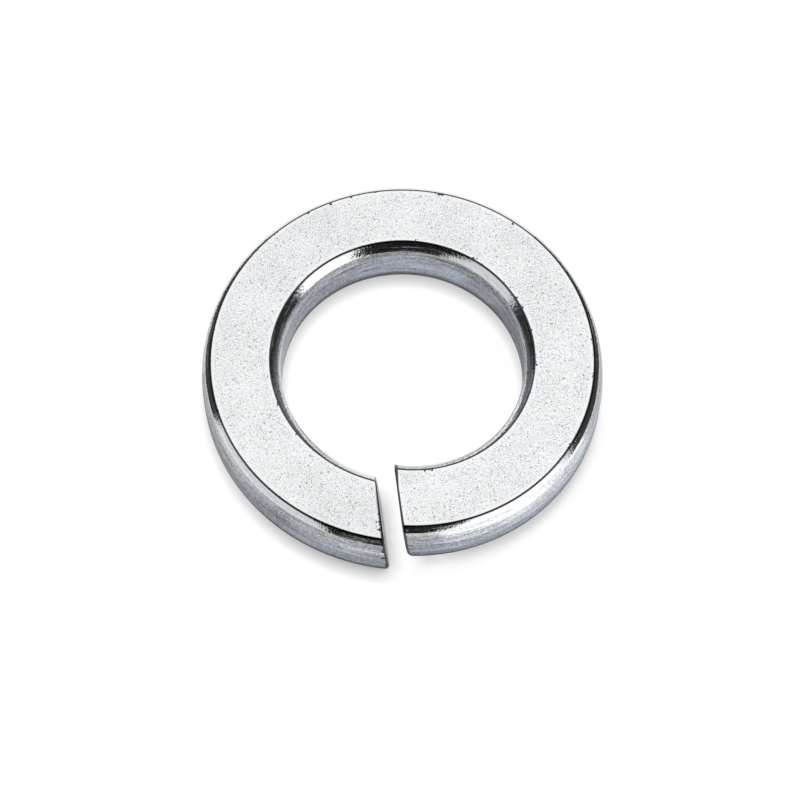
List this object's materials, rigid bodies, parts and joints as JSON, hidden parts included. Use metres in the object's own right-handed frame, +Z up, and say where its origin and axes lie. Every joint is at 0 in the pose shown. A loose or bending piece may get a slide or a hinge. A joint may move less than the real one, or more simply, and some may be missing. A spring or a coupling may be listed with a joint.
{
  "type": "helical spring lock washer",
  "caption": "Split spring lock washer: an open coil of rolled wire with rounded corners and two slanted cut ends, one standing above the other.",
  "frame": {"origin": "on the bolt's axis, at the height of the lowest corner of the low cut end, which is the bottom of the bounding box", "axes": "+Z up along the bolt's axis, the gap faces -Y, the low end is on the -X side of the gap and the high end on its +X side"},
  "size_m": [0.0318, 0.0318, 0.008],
  "materials": {
    "zinc_plated_steel": "bright zinc plated, satin flats, polished corners, drawn side walls"
  },
  "bodies": {
    "root": {"lock_washer": "zinc_plated_steel"}
  },
  "joints": []
}
